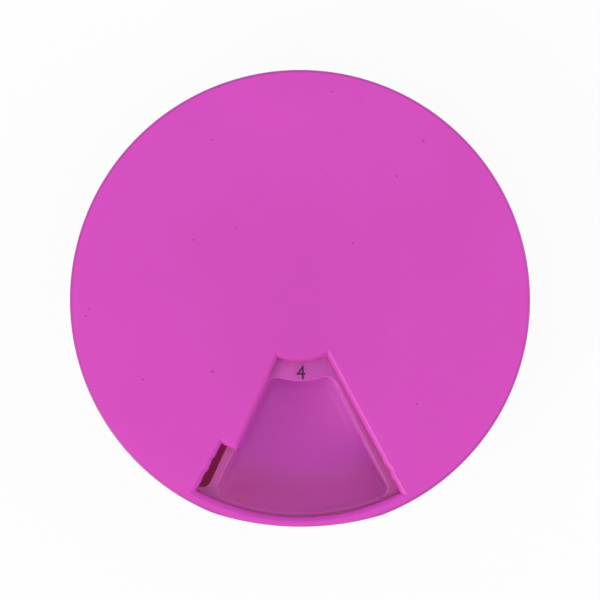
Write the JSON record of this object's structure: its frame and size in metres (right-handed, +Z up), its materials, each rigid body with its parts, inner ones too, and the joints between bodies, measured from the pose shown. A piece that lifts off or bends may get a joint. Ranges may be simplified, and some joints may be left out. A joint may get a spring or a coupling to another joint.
{
  "type": "round pill box",
  "caption": "Round pill box: a flat lid with one wedge window turns on a tray of wedge compartments about a central pivot pin.",
  "frame": {"origin": "on the lid's pivot axis, at the flat underside that the box stands on", "axes": "+Z up through the lid, -Y towards the compartment under the window, +X to the right seen from above with the window nearest"},
  "size_m": [0.089, 0.0888, 0.02],
  "materials": {
    "lid_plastic": "opaque magenta moulded plastic, satin, very fine grain",
    "tray_plastic": "opaque magenta moulded plastic, satin, smooth compartments",
    "pin_plastic": "opaque magenta moulded plastic, satin",
    "number_ink": "thin dark purple pad-printed ink"
  },
  "bodies": {
    "base": {"tray": "tray_plastic"},
    "cover": {"lid": "lid_plastic", "pivot_pin": "pin_plastic"}
  },
  "joints": [
    {"name": "lid_turn", "type": "hinge", "parent": "base", "child": "cover", "pos_m": [0, 0, 0.0115], "axis": [0, 0, 1], "continuous": true}
  ]
}
